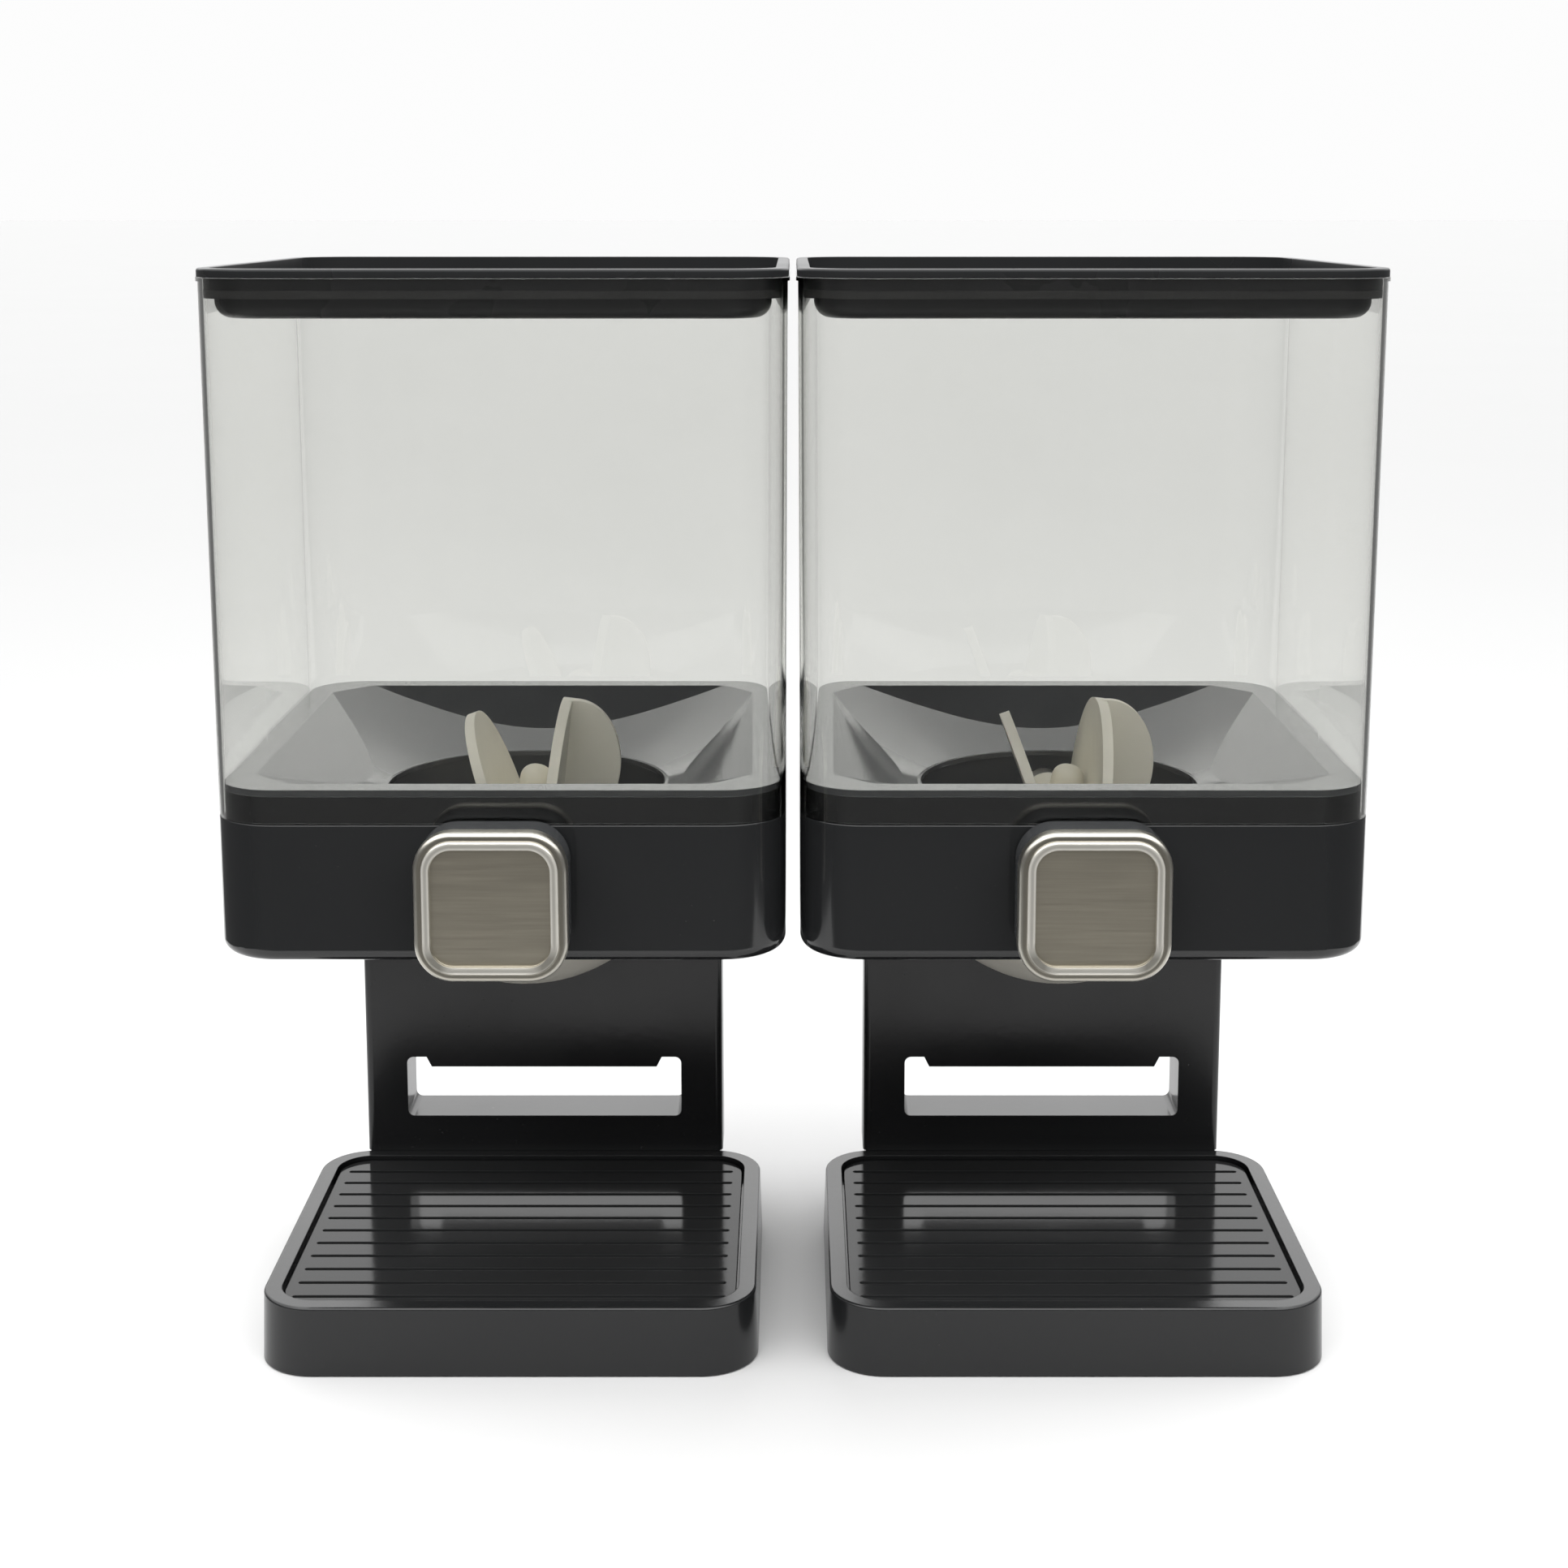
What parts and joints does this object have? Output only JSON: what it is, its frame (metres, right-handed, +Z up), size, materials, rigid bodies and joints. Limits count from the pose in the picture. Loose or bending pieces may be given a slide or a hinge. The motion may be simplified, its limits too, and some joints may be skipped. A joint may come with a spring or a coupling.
{
  "type": "cereal dispenser",
  "caption": "Side-by-side dry food dispenser with clear square canisters, inset lids, turn knobs that drive soft paddle wheels, and flat stands with grooved crumb trays.",
  "frame": {"origin": "middle of the bounding box's underside, on the worktop between the units", "axes": "+X to the right along the row of units, -Y the front with the knobs, +Z up"},
  "size_m": [0.3512, 0.1924, 0.3374],
  "materials": {
    "black_plastic": "gloss",
    "tray_plastic": "gloss, grooved",
    "funnel_plastic": "gloss",
    "knob_plastic": "satin gloss",
    "cup_plastic": "satin",
    "hub_plastic": "satin",
    "bush_plastic": "satin",
    "clear_acrylic": "clear",
    "brushed_nickel": "brushed panel, polished ring",
    "plain_steel": "turned",
    "wheel_rubber": "matte silicone",
    "seal_silicone": "matte",
    "foot_rubber": "matte"
  },
  "bodies": {
    "stands": {"left_base_shell": "black_plastic", "left_base_feet": "foot_rubber", "left_column_shell": "black_plastic", "left_column_rear_cover": "black_plastic", "left_cover_screws": "plain_steel", "left_column_base_screws": "plain_steel", "left_housing_shell": "black_plastic", "left_housing_column_screws": "plain_steel", "left_funnel": "funnel_plastic", "left_outlet_cup": "cup_plastic", "left_cup_screws": "plain_steel", "left_front_bush": "bush_plastic", "left_rear_bush": "bush_plastic", "right_base_shell": "black_plastic", "right_base_feet": "foot_rubber", "right_column_shell": "black_plastic", "right_column_rear_cover": "black_plastic", "right_cover_screws": "plain_steel", "right_column_base_screws": "plain_steel", "right_housing_shell": "black_plastic", "right_housing_column_screws": "plain_steel", "right_funnel": "funnel_plastic", "right_outlet_cup": "cup_plastic", "right_cup_screws": "plain_steel", "right_front_bush": "bush_plastic", "right_rear_bush": "bush_plastic"},
    "left_tray": {"left_crumb_tray": "tray_plastic"},
    "left_container": {"left_canister": "clear_acrylic"},
    "left_cover": {"left_lid": "black_plastic", "left_lid_seal": "seal_silicone"},
    "left_turner": {"left_knob_cap": "brushed_nickel", "left_knob_core": "knob_plastic", "left_knob_screw": "plain_steel", "left_drive_shaft": "plain_steel", "left_shaft_clip": "plain_steel", "left_wheel_hub": "hub_plastic", "left_hub_pin": "plain_steel", "left_paddle_wheel": "wheel_rubber"},
    "right_tray": {"right_crumb_tray": "tray_plastic"},
    "right_container": {"right_canister": "clear_acrylic"},
    "right_cover": {"right_lid": "black_plastic", "right_lid_seal": "seal_silicone"},
    "right_turner": {"right_knob_cap": "brushed_nickel", "right_knob_core": "knob_plastic", "right_knob_screw": "plain_steel", "right_drive_shaft": "plain_steel", "right_shaft_clip": "plain_steel", "right_wheel_hub": "hub_plastic", "right_hub_pin": "plain_steel", "right_paddle_wheel": "wheel_rubber"}
  },
  "joints": [
    {"name": "left_knob_turn", "type": "hinge", "parent": "stands", "child": "left_turner", "pos_m": [-0.08825, 0.00887, 0.15308], "axis": [0, 1, 0], "continuous": true},
    {"name": "left_canister_lift", "type": "slide", "parent": "stands", "child": "left_container", "axis": [0, 0, 1], "range_m": [0, 0.05]},
    {"name": "left_lid_lift", "type": "slide", "parent": "left_container", "child": "left_cover", "axis": [0, 0, 1], "range_m": [0, 0.06]},
    {"name": "left_tray_lift", "type": "slide", "parent": "stands", "child": "left_tray", "axis": [0, 0, 1], "range_m": [0, 0.03]},
    {"name": "right_knob_turn", "type": "hinge", "parent": "stands", "child": "right_turner", "pos_m": [0.08825, 0.00887, 0.15308], "axis": [0, 1, 0], "continuous": true},
    {"name": "right_canister_lift", "type": "slide", "parent": "stands", "child": "right_container", "axis": [0, 0, 1], "range_m": [0, 0.05]},
    {"name": "right_lid_lift", "type": "slide", "parent": "right_container", "child": "right_cover", "axis": [0, 0, 1], "range_m": [0, 0.06]},
    {"name": "right_tray_lift", "type": "slide", "parent": "stands", "child": "right_tray", "axis": [0, 0, 1], "range_m": [0, 0.03]}
  ]
}
